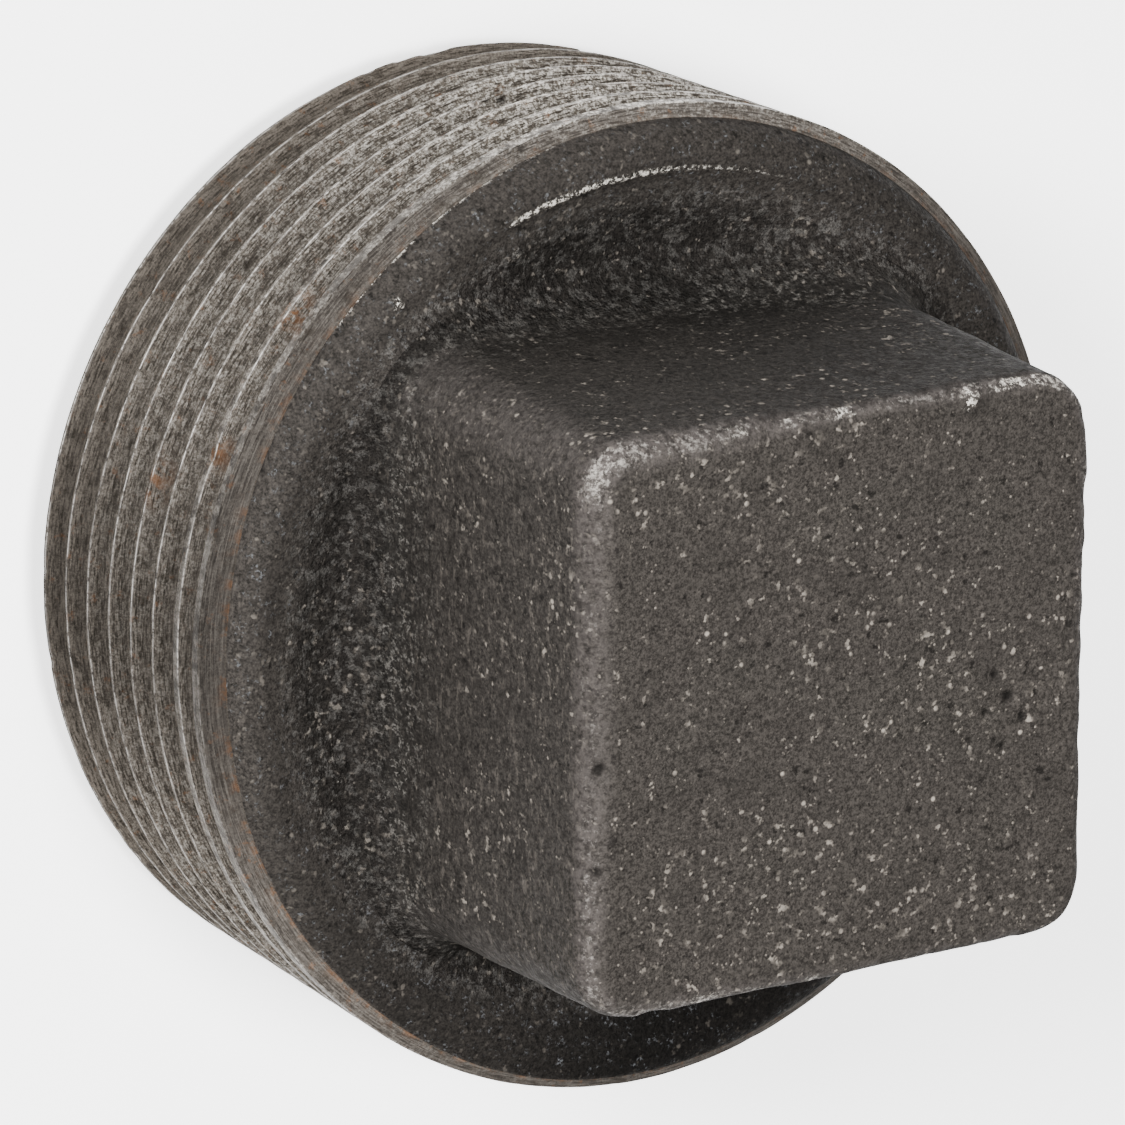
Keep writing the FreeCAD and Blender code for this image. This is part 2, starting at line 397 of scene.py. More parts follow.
def add_thread(shell):
    """The helical thread. Returns its lowest and highest loops."""
    rows = thread_rows()
    top = thread_top(THETA)
    ids = []
    for height, depth, across, crest in rows:
        h = np.clip(height, 0, top)
        r = thread_radius(h, np.where(height > top, 0.0, depth))
        marks = {
            "across": across,
            "crest": crest * (h > 0.05) * around(THETA, CREST_WORN),
            "rubbed": around(THETA, RUBBED_AND_SHEEN) * smoothstep(3.0, 10.0, h),
            "band": smoothstep(1.0, 0.2, top - h) * 0.7,
        }
        marks = {name: value[:-1] for name, value in marks.items()}
        ids.append(shell.add(polar(r, THETA, h)[:-1], **marks))
    last = len(rows) - 1
    for j in range(last):
        turn_on = ids[min(j + GROOVE_ROWS, last)][0], ids[min(j + GROOVE_ROWS + 1, last)][0]
        for i in range(COLUMNS):
            a, b = (ids[j][i + 1], ids[j + 1][i + 1]) if i + 1 < COLUMNS else turn_on
            shell.faces.append((ids[j][i], a, b, ids[j + 1][i]))
    return ids[0], ids[-1]


def add_band(shell, below):
    """The turned band. Returns its inner loop, and the rows of the ring's round outer edge."""
    top = thread_top(RING)
    corner = thread_radius(top, 0)
    wide = around(RING, BAND_WIDTH)
    inner, inner_z = corner - wide, top + BAND_RISE * wide
    for t in BAND_STEPS:
        r = corner + (inner - corner) * t
        z = top + (inner_z - top) * t
        loop = shell.add(
            polar(r, RING, z),
            across=0.1 + wide * t,
            band=1.0,
            crest=0.6 if t == BAND_STEPS[0] else 0.0,
            rubbed=0.2 * around(RING, RUBBED_AND_SHEEN),
            rust=smoothstep(0.6, 1.0, t) * around(RING, BAND_RUST),
        )
        shell.strip(below, loop)
        below = loop
    edge = []
    for k in range(ROUND_ROWS):
        angle = math.radians(90 * k / (ROUND_ROWS - 1))
        r = RING_START + (inner - RING_START) * math.cos(angle)
        z = inner_z + (RING_TOP - inner_z) * math.sin(angle)
        edge.append(polar(r, RING, z))
    return below, edge


def head_rows():
    """Rows from the ring through the dish and up the sides of the head, and the foot's heights."""
    foot = head_outline(RING, HEAD_FOOT)
    foot_z = dish_height(foot, RING)
    rows = []
    for k in range(1, DISH_ROWS + 1):
        t = (k - 0.5) / DISH_ROWS
        r = RING_START + (foot - RING_START) * t
        rows.append(polar(r, RING, dish_height(r, RING)))
    for k in range(1, WALL_ROWS + 1):
        z = foot_z + (HEAD_TOP - foot_z) * k / WALL_ROWS
        rows.append(polar(head_outline(RING, z), RING, z))
    return [settle(row) for row in rows], foot_z


def soften(stack):
    """Smooth the ring into the dish, more often where the casting is softer."""
    zone = ROUND_ROWS + max(RING_SOFTNESS.values())
    softness = around(RING, RING_SOFTNESS)
    for n in range(max(RING_SOFTNESS.values())):
        mid = (stack[:zone - 1] + stack[1:zone]) / 2
        relaxed = stack.copy()
        relaxed[1:zone - 1] = (mid[:-1] + mid[1:]) / 2
        stack = np.where((softness > n)[None, :, None], relaxed, stack)
    return stack


def wear_marks(row, step):
    """Wear of the front's edge and of the head's upright corners."""
    x, y, z = row[:, 0], row[:, 1], row[:, 2]
    first_worn_row, first_upright_row = 31, 27
    sides, front, edge = head_terms(row)
    inside = np.minimum(sides + edge, front + edge) / edge
    wear = smoothstep(-0.3, 0.6, inside) if step >= first_worn_row else 0.0
    qx, qy = np.abs(x) - head_half(z), np.abs(y) - head_half(z)
    upright = smoothstep(0.0, 0.5, 1 + np.minimum(qx, qy) / outline_round(x, y, z))
    upright = upright * around(RING, UPRIGHT_WORN) * (step >= first_upright_row)
    return np.maximum(wear, upright), sides


def row_marks(row, step, foot_z):
    """Marks of a row of the ring, dish or head. Steps count from the first row of the dish."""
    first = step == -ROUND_ROWS
    ring_rows, skin_rows, valley_width = 16, 22, 0.75
    wear, sides = wear_marks(row, step)
    valley = np.exp(-(np.maximum(sides, 0) / valley_width) ** 2)
    valley = valley * (1 - smoothstep(1.5, 6.0, row[:, 2] - foot_z)) * around(RING, VALLEY)
    ring = 1 - smoothstep(0.9, 3.4, RING_EDGE - np.hypot(row[:, 0], row[:, 1]))
    ring = ring if step < ring_rows else 0.0
    # Painted glints on the ring's first row and on the dish's ridge.
    ridge = around(RING, BAND_DOTS) if first else 0.0
    if abs(step) < 2:
        ridge = around(RING, RIDGE) * (1.0 if step == 0 else 0.3)
    skin = (1.6 - 1.3 * ring) if step < skin_rows else 0.8
    return {
        "cast": 0.5 if first else 1.0,
        "dish": smoothstep(1, 8, step) * (1 - smoothstep(24, 30, step)),
        "ridge": ridge,
        "ring": ring,
        "rust": around(RING, BAND_RUST) if first else 0.0,
        "skin": 0.2 if first else skin,
        "valley": valley,
        "wear": wear,
    }


def add_head(shell, below, edge):
    """The ring, dish and head sides, with the front face on top."""
    rows, foot_z = head_rows()
    for k, row in enumerate(soften(np.array(edge + rows))):
        loop = shell.add(row, **row_marks(row, k - ROUND_ROWS, foot_z))
        shell.strip(below, loop)
        below = loop
    add_front(shell, below)


def add_front(shell, rim):
    """The front face: a square grid whose border is the last loop of the sides."""
    n = SIDE
    t = np.tan(-math.pi / 4 + math.pi / 2 * np.arange(n + 1) / n)
    u, v = np.meshgrid(t, t, indexing="ij")
    reach = np.maximum(np.abs(u), np.abs(v))
    theta = np.arctan2(v, u)
    square = HEAD_HALF / np.maximum(np.maximum(np.abs(np.cos(theta)), np.abs(np.sin(theta))), 1e-9)
    shrink = (head_outline(theta.ravel(), HEAD_TOP).reshape(theta.shape) / square) ** (reach ** 4)
    x, y = u * HEAD_HALF * shrink, v * HEAD_HALF * shrink
    inner = np.stack([x[1:-1, 1:-1].ravel(), y[1:-1, 1:-1].ravel(), np.full((n - 1) ** 2, HEAD_TOP)], axis=1)
    inner = settle(inner)
    sides, front, edge = head_terms(inner)
    inside = np.minimum(sides + edge, front + edge) / edge
    inner_ids = shell.add(inner, cast=1.0, skin=0.8, wear=smoothstep(-0.3, 0.6, inside))
    ids = np.zeros((n + 1, n + 1), int)
    ids[1:-1, 1:-1] = inner_ids.reshape(n - 1, n - 1)
    for k in range(n + 1):
        ids[n, k] = rim[(k - n // 2) % COLUMNS]
        ids[k, n] = rim[(n // 2 + n - k) % COLUMNS]
        ids[0, k] = rim[(n // 2 + 2 * n - k) % COLUMNS]
        ids[k, 0] = rim[(n // 2 + 2 * n + k) % COLUMNS]
    for a in range(n):
        for b in range(n):
            shell.faces.append((ids[a, b], ids[a + 1, b], ids[a + 1, b + 1], ids[a, b + 1]))


def core_profile():
    """Radii and heights down the core hole, from its mouth to near the middle of its floor."""
    wall_height = CORE_DEPTH - CORE_ROUND
    slope = (CORE_MOUTH - CORE_FLOOR) / wall_height
    steps = [(CORE_MOUTH - 0.05, 0.3)]
    for k in range(1, CORE_WALL_ROWS + 1):
        z = wall_height * k / CORE_WALL_ROWS
        steps.append((CORE_MOUTH - slope * z, max(z, 0.6)))
    for k in range(1, CORE_ROUND_ROWS + 1):
        a = math.radians(90 / CORE_ROUND_ROWS * k)
        inwards, short = CORE_ROUND * (1 - math.cos(a)), CORE_ROUND * (1 - math.sin(a))
        steps.append((CORE_FLOOR - inwards, CORE_DEPTH - short))
    for k in range(1, CORE_FLOOR_ROWS):
        steps.append(((CORE_FLOOR - CORE_ROUND) * (1 - k / CORE_FLOOR_ROWS), CORE_DEPTH))
    return steps


def add_hollow(shell, rim):
    """The end face and the core hole, on fewer columns than the thread."""
    mouth_round = 0.25
    middle = (END_CREST - CHAMFER_DEPTH + CORE_MOUTH) / 2
    loop = shell.add(polar(middle, RING, 0.0), across=1.0)
    shell.strip(rim, loop)
    few = RING[::CORE_SKIP]
    below = shell.add(polar(CORE_MOUTH + mouth_round, few, 0.0), across=1.0, cast=0.2)
    for i in range(len(few)):
        fan = [loop[(CORE_SKIP * i + k) % COLUMNS] for k in range(CORE_SKIP + 1)]
        shell.faces.append((*fan, below[(i + 1) % len(few)], below[i]))
    for r, z in core_profile():
        loop = shell.add(polar(r, few, z), cast=1.0, skin=1.0)
        shell.strip(below, loop)
        below = loop
    centre = shell.add([(0, 0, CORE_DEPTH)], cast=1.0, skin=1.0)[0]
    for i in range(len(few)):
        shell.faces.append((below[i], below[(i + 1) % len(few)], centre))


def make_plug():
    """The whole casting as one closed mesh."""
    shell = Shell()
    lowest, highest = add_thread(shell)
    below, edge = add_band(shell, highest)
    add_head(shell, below, edge)
    add_hollow(shell, lowest)
    points, values, faces = shell.joined()
    mesh = bpy.data.meshes.new("plug_casting")
    mesh.from_pydata([tuple(p * MM) for p in points], [], faces)
    mesh.update()
    plug = place_object("plug_casting", mesh)
    fix_normals(mesh)
    weather(mesh, points, values)
    return plug


def fix_normals(mesh):
    """Turn every face outwards."""
    bm = bmesh.new()
    bm.from_mesh(mesh)
    bmesh.ops.recalc_face_normals(bm, faces=bm.faces)
    bm.to_mesh(mesh)
    bm.free()
    mesh.update()


# ---------------------------------------------------------------- weathering and painted shade

def painted_shade_share(points, normal, values):
    """Painted shade: how dark the surface is painted. The sides and the dish are darker than the front; the
    ring and the thread are darker on some sides round the axis.
    """
    x, y = points[:, 0], points[:, 1]
    theta = np.arctan2(y, x)
    front_shade, plus_x_shade, other_shade = 0.10, 0.50, 0.5
    # Painted shade by which way the head's faces point: -Y darkest, and darker again towards -X.
    minus_y = smoothstep(0.3, 0.9, -normal[:, 1]) * (0.59 + 0.13 * smoothstep(-10.0, 6.0, -x))
    plus_x = smoothstep(0.3, 0.9, normal[:, 0]) * plus_x_shade
    other = smoothstep(0.3, 0.9, np.maximum(normal[:, 1], -normal[:, 0])) * other_shade
    head = np.maximum(np.maximum(minus_y, plus_x), np.maximum(other, front_shade))
    soot = head + (around(theta, DISH_PAINTED_SHADE) - head) * np.clip(values["dish"], 0, 1)
    soot = soot + (around(theta, RING_PAINTED_SHADE) - soot) * np.clip(values["ring"], 0, 1)
    metal = around(theta, METAL_PAINTED_SHADE)
    return metal + (soot - metal) * smoothstep(0.2, 0.8, values["cast"])


def wear_front(points, theta, values):
    """Set how worn the front's edges are round the axis, and where they are bare metal."""
    share = around(theta, FRONT_WORN)
    values["wear"] *= share
    bare = smoothstep(0.7, 1.0, values["wear"] / np.maximum(share, 0.01))
    bare *= around(theta, FRONT_BARE)
    values["ridge"] = np.maximum(values["ridge"], bare * smoothstep(-0.25, 0.35, noise(points, 1.5, 12)))
    values["wear"] *= (values["wear"] / np.maximum(share, 0.01)) ** (around(theta, FRONT_NARROW) - 1)


def lift_skin(points, theta, values, ridge):
    """Height of the uneven skin, the worn edges, the ridge of the dish and the nicked crests."""
    skin = values["skin"]
    metal = 1 - np.clip(values["cast"], 0, 1)
    lift = np.zeros(len(points))
    for height, size, seed in SKIN_BUMPS:
        lift += skin * height * noise(points, size, seed)
    lift += values["wear"] * skin * 0.10 * around(theta, FRONT_RAGGED) * noise(points, 1.1, 5)
    lift += metal * 0.012 * noise(points, 1.2, 6)
    nick = noise(points, 0.9, 7)
    lift += 0.18 * ridge * (0.5 + 0.8 * noise(points, 0.7, 9))
    small_end = 1 - smoothstep(1.0, 5.0, points[:, 2])
    lift -= values["crest"] * (0.05 + 0.12 * small_end) * smoothstep(0.35, 0.9, nick)
    lift -= values["crest"] * 0.015 * (1 + noise(points, 4.0, 8))
    return lift


def place_spots(points, values, lift):
    """Add the dents, lumps and stains that have their own places."""
    for x, y, z, radius, height in SPOTS:
        gap = ((points - (x, y, z)) ** 2).sum(1) / radius ** 2
        lift += height * np.exp(-gap)
        if height < 0:
            values["pit"] += np.exp(-gap * PIT_SPREAD)
        else:
            # Lumps get painted glints.
            glint = LUMP_GLINT_HIGH if z > LUMP_ABOVE else LUMP_GLINT_LOW
            values["ridge"] = np.maximum(values["ridge"], glint * np.exp(-gap * LUMP_SPREAD))
    for x, y, z, radius in STAINS:
        values["stain"] += np.exp(-((points - (x, y, z)) ** 2).sum(1) / radius ** 2)


def weather(mesh, points, values):
    """Give the surface its casting skin, dents and worn edges, and the marks for painted shade and painted
    glints.
    """
    normal = np.zeros(len(points) * 3)
    mesh.vertices.foreach_get("normal", normal)
    normal = normal.reshape(-1, 3)
    theta = np.arctan2(points[:, 1], points[:, 0])
    dish_ridge = values["ridge"].copy()
    wear_front(points, theta, values)
    # Painted shade on the sides, the dish, the ring and the thread.
    values["soot"] = painted_shade_share(points, normal, values)
    values["side"] = smoothstep(0.3, 0.9, np.abs(normal[:, 0])) * values["cast"]
    lift = lift_skin(points, theta, values, dish_ridge)
    place_spots(points, values, lift)
    lift *= smoothstep(-0.01, 0.6, points[:, 2])
    out = (points + normal * lift[:, None]) * MM
    mesh.vertices.foreach_set("co", out.ravel())
    mesh.update()
    for name in Shell.marks:
        layer = mesh.attributes.new(name, "FLOAT", "POINT")
        layer.data.foreach_set("value", values[name].astype(np.float32))
    mesh.shade_smooth()
    mesh.set_sharp_from_angle(angle=SHARP_ANGLE)


# ---------------------------------------------------------------- material

def rgb(r, g, b):
    return (r, g, b, 1.0)


# Colours of the cast skin.
SKIN_DARK = rgb(0.0103, 0.0092, 0.0082)
SKIN_LIGHT = rgb(0.0336, 0.0298, 0.0264)
SKIN_BLOTCH = rgb(0.0103, 0.0093, 0.0084)
SKIN_PORE = rgb(0.0044, 0.0040, 0.0036)
# Painted shade: near black, mixed in where shade is painted.
SKIN_PAINTED_SHADE = rgb(0.0005, 0.0005, 0.0005)
SKIN_SPECK = rgb(0.195, 0.173, 0.147)
DISH_SCALE = rgb(0.098, 0.094, 0.087)
DRAWN_DARK = rgb(0.0038, 0.0033, 0.0029)
DRAWN_LIGHT = rgb(0.042, 0.0368, 0.0318)
RING_SCUFF = rgb(0.060, 0.0625, 0.0655)
# Painted shade in the crevice at the head's foot, and dust with painted glints there.
VALLEY_PAINTED_SHADE = rgb(0.0050, 0.0048, 0.0044)
VALLEY_DUST_AND_GLINT = rgb(0.078, 0.073, 0.066)
WORN_HAZE = rgb(0.052, 0.0455, 0.0425)
WORN_CHIP = rgb(0.270, 0.250, 0.228)
# Bare metal on the worn edges, and painted glints on the ridge, the band's dots and the lumps.
BARE_METAL_AND_GLINT = rgb(0.50, 0.47, 0.42)
# Painted shade in the dents.
PIT_PAINTED_SHADE = rgb(0.0022, 0.0020, 0.0018)

# Colours of the turned metal.
TURNED_DARK = rgb(0.0155, 0.0130, 0.0103)
TURNED_LIGHT = rgb(0.084, 0.0726, 0.0606)
# Painted light towards the roots of the grooves.
ROOT_PAINTED_LIGHT = rgb(0.130, 0.115, 0.098)
BAND_DARK = rgb(0.0204, 0.0181, 0.0166)
BAND_LINE = rgb(0.070, 0.063, 0.056)
STREAK_PALE = rgb(0.117, 0.105, 0.091)
LEAF_DARK = rgb(0.066, 0.056, 0.044)
LEAF_LIGHT = rgb(0.540, 0.510, 0.462)
GRIME_DARK = rgb(0.012, 0.0098, 0.0076)
RUST_BROWN = rgb(0.092, 0.041, 0.016)
# Painted shade on the turned metal.
TURNED_PAINTED_SHADE = rgb(0.0010, 0.0009, 0.0008)
CREST_BRIGHT = rgb(0.42, 0.40, 0.375)

# Noises: scale per metre, detail and roughness.
NOISES = {
    "grain": (9500, 2, 0.6),
    "middle": (4200, 3, 0.6),
    "coarse": (2100, 4, 0.65),
    "blotch": (420, 4, 0.6),
    "patch": (130, 2, 0.5),
    "tone": (1300, 1, 0.5),
    "pores": (1700, 3, 0.6),
    "speck": (2400, 2, 0.5),
    "grit places": (900, 2, 0.6),
    "dust places": (1900, 1, 0.5),
    "scale": (2000, 4, 0.7),
    "glitter": (5600, 2, 0.6),
    "scuff": (1500, 3, 0.65),
    "loose dust": (3000, 4, 0.75),
    "loose places": (800, 2, 0.6),
    "chips": (3600, 4, 0.75),
    "sparkle": (3300, 5, 0.8),
    "flake": (3600, 3, 0.7),
    "grime": (800, 5, 0.72),
    "rust": (1200, 5, 0.78),
    "rust line": (1100, 4, 0.7),
    "stain": (1500, 4, 0.7),
    "crest": (2600, 3, 0.7),
    "crest places": (450, 2, 0.5),
}
GRIT_CELLS = 1500
DUST_CELLS = 3300

# Stretched noises: scale per metre along x, y and z, and per mm across the thread's flank.
DRAWN_STRETCH = (4200, 1500, 3000)
STREAK_STRETCH = (300, 300, 700, 14.0)
HATCH_STRETCH = (1500, 1500, 1200, 11.0)

SPECULAR = 0.02
BUMP_DISTANCE = 0.00010


class Nodes:
    """Short calls for building a node tree."""

    def __init__(self, name):
        self.material = bpy.data.materials.new(name)
        self.material.use_nodes = True
        self.tree = self.material.node_tree
        self.shader = self.tree.nodes["Principled BSDF"]
        self.space = self.new("ShaderNodeTexCoord").outputs["Object"]
        split = self.new("ShaderNodeSeparateXYZ")
        self.link(self.space, split.inputs[0])
        self.axes = split.outputs

    def new(self, kind):
        return self.tree.nodes.new(kind)

    def link(self, value, socket):
        """Set a number or colour on a socket, or join an output to it."""
        if isinstance(value, (int, float, tuple)):
            socket.default_value = value
        else:
            self.tree.links.new(value, socket)

    def math(self, operation, a, b):
        node = self.new("ShaderNodeMath")
        node.operation = operation
        self.link(a, node.inputs[0])
        self.link(b, node.inputs[1])
        return node.outputs[0]

    def times(self, a, b):
        return self.math("MULTIPLY", a, b)

    def plus(self, a, b):
        return self.math("ADD", a, b)

    def minus(self, a, b):
        return self.math("SUBTRACT", a, b)

    def most(self, a, b):
        return self.math("MAXIMUM", a, b)

    def power(self, a, b):
        return self.math("POWER", a, b)

    def attribute(self, name):
        node = self.new("ShaderNodeAttribute")
        node.attribute_name = name
        return node.outputs["Fac"]

    def noise(self, name):
        """A noise from the table."""
        return self.cloud(self.space, *NOISES[name])

    def cloud(self, where, scale, detail, rough):
        node = self.new("ShaderNodeTexNoise")
        self.link(where, node.inputs["Vector"])
        self.link(scale, node.inputs["Scale"])
        self.link(detail, node.inputs["Detail"])
        self.link(rough, node.inputs["Roughness"])
        return node.outputs["Fac"]

    def stretched(self, scales, detail, rough, across=None):
        """A noise with a scale of its own along each axis, and across the thread's flank."""
        node = self.new("ShaderNodeCombineXYZ")
        for axis, scale in zip("XYZ", scales):
            value = self.times(self.axes[axis], scale)
            if axis == "Z" and across is not None:
                value = self.plus(self.times(across, scales[3]), value)
            self.link(value, node.inputs[axis])
        return self.cloud(node.outputs[0], 1.0, detail, rough)

    def cells(self, scale):
        """Distance to the nearest of many scattered points."""
        node = self.new("ShaderNodeTexVoronoi")
        self.link(self.space, node.inputs["Vector"])
        self.link(scale, node.inputs["Scale"])
        return node.outputs["Distance"]

    def ramp(self, value, low, high, to_low=0.0, to_high=1.0):
        """A smooth change from to_low to to_high, as value goes from low to high."""
        node = self.new("ShaderNodeMapRange")
        node.interpolation_type = "SMOOTHSTEP"
        self.link(value, node.inputs["Value"])
        self.link(low, node.inputs["From Min"])
        self.link(high, node.inputs["From Max"])
        self.link(to_low, node.inputs["To Min"])
        self.link(to_high, node.inputs["To Max"])
        return node.outputs["Result"]

    def between(self, kind, factor, a, b):
        node = self.new("ShaderNodeMix")
        node.data_type = kind
        self.link(factor, node.inputs["Factor"])
        self.link(a, node.inputs["A"])
        self.link(b, node.inputs["B"])
        return node.outputs["Result"]

    def mix(self, factor, a, b):
        """A colour between two."""
        return self.between("RGBA", factor, a, b)

    def blend(self, factor, a, b):
        """A number between two."""
        return self.between("FLOAT", factor, a, b)


def skin_ground(n, t):
    """The cast skin's dark grain, darker where shade is painted."""
    skin = n.mix(n.ramp(t.mottle, 0.36, 0.66), SKIN_DARK, SKIN_LIGHT)
    skin = n.mix(n.times(n.ramp(t.blotch, 0.45, 0.75), 0.3), skin, SKIN_BLOTCH)
    skin = n.mix(n.ramp(n.noise("pores"), 0.30, 0.40, 0.8, 0.0), skin, SKIN_PORE)
    # Painted shade on the skin.
    return n.mix(t.dark, SKIN_PAINTED_SHADE, skin)


def skin_specks(n, t):
    """Share of light specks, in loose clusters."""
    cluster = n.ramp(n.noise("patch"), 0.35, 0.62, 0.07, 0.0)
    speck = n.times(n.ramp(n.minus(n.noise("speck"), cluster), 0.58, 0.70), 0.7)
    places = n.ramp(n.minus(n.noise("grit places"), n.times(cluster, 1.5)), 0.50, 0.60)
    grit = n.times(n.ramp(n.cells(GRIT_CELLS), 0.10, 0.26, 1.0, 0.0), places)
    places = n.ramp(n.noise("dust places"), 0.54, 0.66)
    dust = n.times(n.ramp(n.cells(DUST_CELLS), 0.12, 0.30, 0.6, 0.0), places)
    speck = n.most(n.most(speck, grit), dust)
    tone = n.ramp(n.noise("tone"), 0.38, 0.66, 0.12, 1.0)
    return n.times(n.times(speck, tone), n.ramp(t.ring, 0.0, 1.0, 0.9, 0.35))


def skin_marks(n, t, skin):
    """Scale in the dish, drawn marks on two sides of the head, scuffs on the ring, and painted shade with
    dust and painted glints at its foot.
    """
    scale = n.times(n.ramp(n.noise("scale"), 0.50, 0.60), n.ramp(t.grain, 0.4, 0.6, 0.4, 1.0))
    scale = n.times(n.times(t.dish, scale), 0.4)
    skin = n.mix(n.times(scale, t.shade), skin, DISH_SCALE)
    drawn = n.stretched(DRAWN_STRETCH, 3, 0.65)
    side = n.attribute("side")
    skin = n.mix(n.times(side, n.ramp(drawn, 0.34, 0.46, 0.55, 0.0)), skin, DRAWN_DARK)
    skin = n.mix(n.times(side, n.ramp(drawn, 0.55, 0.68, 0.0, 0.48)), skin, DRAWN_LIGHT)
    glitter = n.ramp(n.noise("glitter"), 0.54, 0.70)
    scuff = n.times(t.ring, n.ramp(n.noise("scuff"), 0.48, 0.68))
    skin = n.mix(n.times(scuff, n.times(glitter, 0.7)), skin, RING_SCUFF)
    valley = n.attribute("valley")
    dust_and_glint = n.times(n.ramp(n.noise("loose dust"), 0.50, 0.64), n.ramp(n.noise("loose places"), 0.36, 0.56))
    dust_and_glint = n.times(n.times(valley, dust_and_glint), n.ramp(t.grain, 0.35, 0.6, 0.3, 1.0))
    # Painted shade in the crevice at the foot of the head, then dust with painted glints over it.
    skin = n.mix(n.times(valley, 0.5), skin, VALLEY_PAINTED_SHADE)
    return n.mix(dust_and_glint, skin, VALLEY_DUST_AND_GLINT)


def skin_wear(n, t, skin):
    """Rubbed and chipped edges, with bare metal and painted glints. Returns the colour and the share of bare
    metal and painted glint.
    """
    wear = n.attribute("wear")
    patchy = n.plus(n.noise("chips"), n.times(t.blotch, 0.35))
    patchy = n.plus(patchy, n.times(wear, 0.22))
    chips = n.times(n.power(wear, 3.5), n.ramp(patchy, 0.88, 1.08))
    haze = n.times(n.power(wear, 1.4), n.ramp(t.coarse, 0.36, 0.60, 0.25, 1.0))
    skin = n.mix(n.times(haze, 0.55), skin, WORN_HAZE)
    skin = n.mix(n.times(chips, 0.55), skin, WORN_CHIP)
    # Bare metal on the worn front edges, and painted glints on the dish's ridge, the band's dots and the
    # lumps.
    sparkle = n.times(n.attribute("ridge"), n.ramp(n.noise("sparkle"), 0.42, 0.60))
    skin = n.mix(n.ramp(sparkle, 0.25, 0.75, 0.0, 0.95), skin, BARE_METAL_AND_GLINT)
    return skin, n.most(chips, sparkle)


def cast_skin(n, t):
    """Colour, metal, roughness and relief of the cast skin."""
    skin = skin_ground(n, t)
    speck = skin_specks(n, t)
    skin = n.mix(n.times(speck, t.shade), skin, SKIN_SPECK)
    skin = skin_marks(n, t, skin)
    skin, bare = skin_wear(n, t, skin)
    rugged = n.plus(n.ramp(t.ring, 0.0, 0.8, 0.9, 0.35), n.times(t.dish, 1.3))
    rugged = n.plus(rugged, n.times(n.ramp(t.soot, 0.6, 0.95), 0.8))
    fine = n.plus(n.times(t.middle, 0.35), n.times(t.coarse, 1.1))
    fine = n.times(n.plus(fine, n.times(speck, 0.4)), rugged)
    return skin, n.times(bare, 0.5), n.blend(n.ramp(t.coarse, 0.35, 0.65), 0.78, 0.56), fine


def turned_rust(n):
    """Share of rust: scattered, along the band's inner edge, and in the stains."""
    rust = n.ramp(n.noise("rust"), 0.58, 0.68)
    line = n.times(n.attribute("rust"), n.ramp(n.noise("rust line"), 0.46, 0.62))
    stained = n.times(n.attribute("stain"), n.ramp(n.noise("stain"), 0.44, 0.58, 0.0, 1.4))
    return n.most(n.most(n.times(rust, 0.7), line), stained)


def turned_metal(n, t):
    """Colour, metal, roughness and relief of the thread and the band."""
    across, band = n.attribute("across"), n.attribute("band")
    streak = n.stretched(STREAK_STRETCH, 3, 0.6, across)
    hatch = n.stretched(HATCH_STRETCH, 3, 0.6, across)
    speckle = n.plus(n.times(t.grain, 0.35), n.times(hatch, 0.65))
    turned = n.mix(n.ramp(speckle, 0.36, 0.64), TURNED_DARK, TURNED_LIGHT)
    # Painted light: lighter towards each groove's root, against its shade.
    turned = n.mix(n.ramp(across, 0.3, 1.9, 0.0, 0.4), turned, ROOT_PAINTED_LIGHT)
    turned = n.mix(n.times(band, 0.6), turned, BAND_DARK)
    ruled = n.times(band, n.ramp(streak, 0.48, 0.60))
    turned = n.mix(n.times(ruled, 0.35), turned, BAND_LINE)
    turned = n.mix(n.times(n.ramp(streak, 0.5, 0.72), 0.25), turned, STREAK_PALE)
    flake = n.ramp(n.plus(n.times(hatch, 0.6), n.times(n.noise("flake"), 0.45)), 0.45, 0.60)
    # Rubbed flaky metal with a painted sheen.
    shiny = n.times(n.attribute("rubbed"), flake)
    leaf = n.mix(n.ramp(t.mottle, 0.4, 0.62), LEAF_DARK, LEAF_LIGHT)
    turned = n.mix(n.times(shiny, 0.9), turned, leaf)
    grime = n.ramp(n.noise("grime"), 0.52, 0.68)
    turned = n.mix(n.times(grime, 0.55), turned, GRIME_DARK)
    rust = turned_rust(n)
    turned = n.mix(n.times(rust, 0.6), turned, RUST_BROWN)
    bright = n.times(n.power(n.attribute("crest"), 12.0), n.ramp(n.noise("crest"), 0.40, 0.54, 0.1, 1.0))
    bright = n.times(bright, n.ramp(n.noise("crest places"), 0.38, 0.58, 0.4, 1.0))
    # Painted shade on the thread and the band.
    turned = n.mix(t.dark, TURNED_PAINTED_SHADE, turned)
    turned = n.mix(n.times(bright, 0.85), turned, CREST_BRIGHT)
    metal = n.blend(n.most(grime, rust), 0.2, 0.05)
    metal = n.blend(n.most(bright, n.times(shiny, 0.4)), metal, 0.85)
    rough = n.blend(bright, n.ramp(streak, 0.3, 0.7, 0.62, 0.48), 0.34)
    return turned, metal, rough, n.plus(n.times(streak, 0.25), n.times(t.mottle, 0.6))


